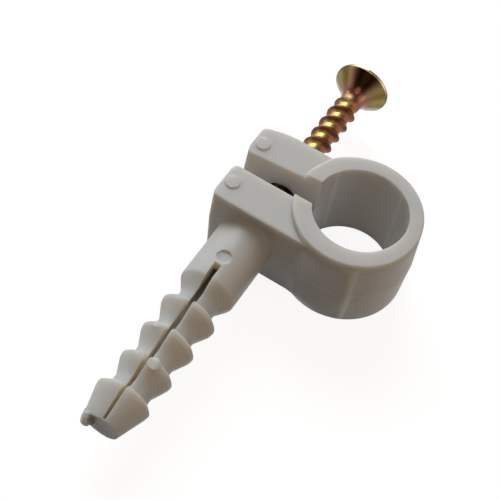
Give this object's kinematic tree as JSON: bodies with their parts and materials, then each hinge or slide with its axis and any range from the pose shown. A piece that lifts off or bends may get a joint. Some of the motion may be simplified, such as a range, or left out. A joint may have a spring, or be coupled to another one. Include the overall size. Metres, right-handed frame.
{
  "type": "screw cable clip",
  "caption": "Plastic cable clip with a split round clamp, two lugs and a barbed wall plug in one moulding, closed by a countersunk wood screw that runs into the plug.",
  "frame": {"origin": "on the axis of the cable bore, at the lower face of the ring", "axes": "+Z along the cable bore; +Y along the screw towards its head, away from the wall; the lugs, the plug and the screw lie towards -X"},
  "size_m": [0.0267, 0.0661, 0.0138],
  "materials": {
    "clip_plastic": "light grey polyamide with a satin moulded skin",
    "screw_steel": "zinc plated and yellow passivated, iridescent gold with pink and green tints"
  },
  "bodies": {
    "clip": {"clip_body": "clip_plastic"},
    "screw": {"screw": "screw_steel"}
  },
  "joints": [
    {"name": "screw_drive", "type": "slide", "parent": "clip", "child": "screw", "axis": [0, -1, 0], "range_m": [-0.018, 0.0183]}
  ]
}
